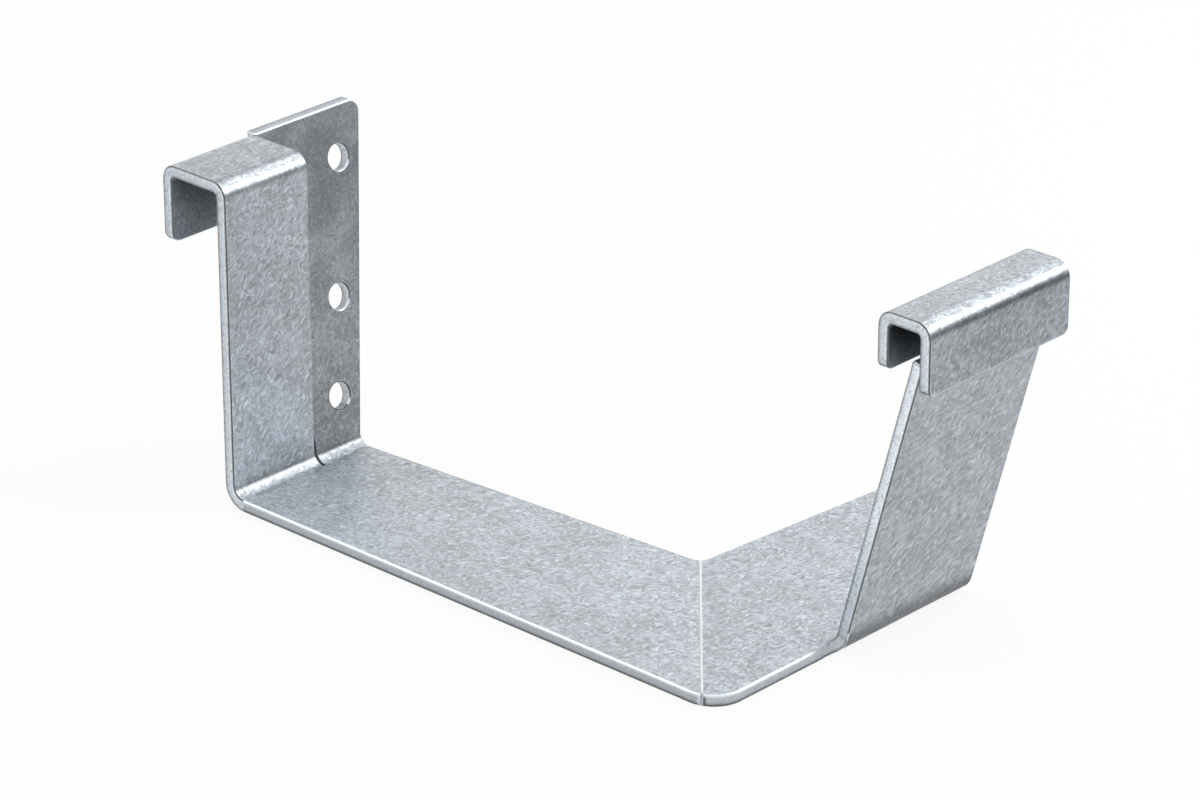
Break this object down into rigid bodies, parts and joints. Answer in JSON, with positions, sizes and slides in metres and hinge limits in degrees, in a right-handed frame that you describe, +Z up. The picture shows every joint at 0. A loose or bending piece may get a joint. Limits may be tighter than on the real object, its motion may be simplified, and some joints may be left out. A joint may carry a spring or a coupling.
{
  "type": "gutter external angle",
  "caption": "External angle bracket for a box gutter: mitred flat arms of folded galvanised sheet, a hooked strap beside a drilled fixing plate, and a leaning front leg under a bead channel.",
  "frame": {"origin": "on the underside of the flat arms near the middle of the corner, 22.5 mm in from the long arm's near edge and 26 mm in from the short arm's front edge", "axes": "+X along the long arm towards the outer corner, +Y along the short arm away from the corner, +Z up"},
  "size_m": [0.1981, 0.1106, 0.087],
  "materials": {
    "galvanised_sheet": "hot-dip galvanised, fine mottled grey",
    "weld_metal": "bright dressed weld"
  },
  "bodies": {
    "root": {"fascia_leg": "galvanised_sheet", "front_leg": "galvanised_sheet", "bead_channel": "galvanised_sheet", "mitre_weld": "weld_metal", "channel_weld": "weld_metal"}
  },
  "joints": []
}
